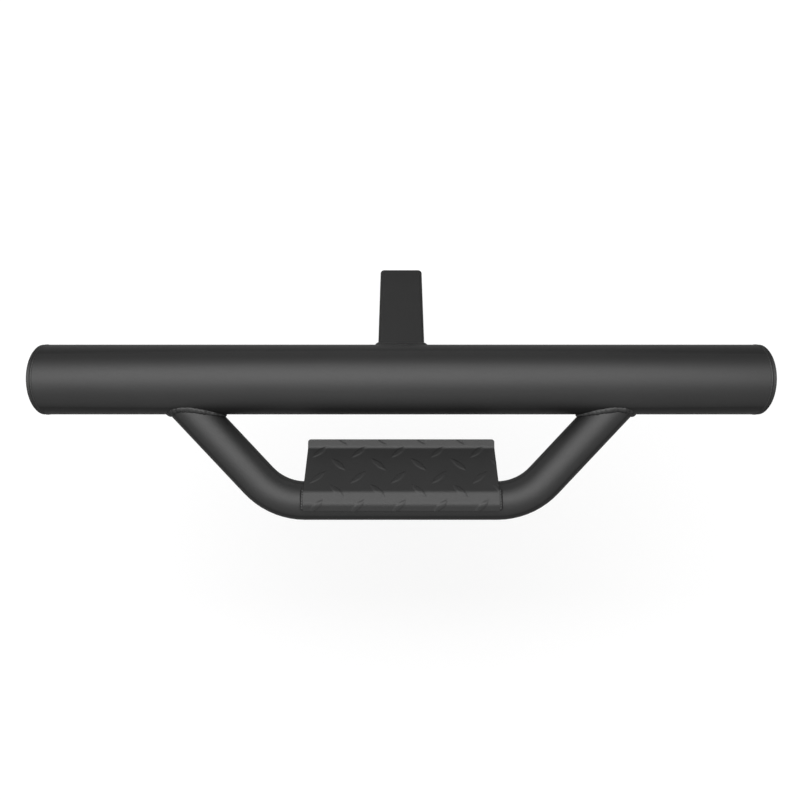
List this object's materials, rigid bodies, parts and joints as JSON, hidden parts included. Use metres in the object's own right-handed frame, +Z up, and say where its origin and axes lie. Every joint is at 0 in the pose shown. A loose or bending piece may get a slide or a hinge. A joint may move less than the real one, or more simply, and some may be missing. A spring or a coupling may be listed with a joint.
{
  "type": "rear step bumper",
  "caption": "Round steel cross tube on a square receiver shank, with a bent step hoop welded below it and a folded diamond tread plate as the step.",
  "frame": {"origin": "centre of the hitch pin hole through the receiver shank", "axes": "+X along the cross tube and the pin hole, +Y forward along the shank into the vehicle's receiver, +Z up"},
  "size_m": [0.78, 0.2836, 0.1532],
  "materials": {
    "powder_coated_steel": "satin black powder coat",
    "powder_coated_tread_plate": "satin black powder coat on diamond tread plate",
    "powder_coated_weld": "satin black powder coat over weld beads"
  },
  "bodies": {
    "root": {"main_tube": "powder_coated_steel", "end_cap_left": "powder_coated_steel", "end_cap_right": "powder_coated_steel", "end_seams": "powder_coated_weld", "hitch_shank": "powder_coated_steel", "shank_weld": "powder_coated_weld", "step_hoop": "powder_coated_steel", "hoop_welds": "powder_coated_weld", "step_plate": "powder_coated_tread_plate", "plate_end_welds": "powder_coated_weld", "plate_stitch_welds": "powder_coated_weld"}
  },
  "joints": []
}
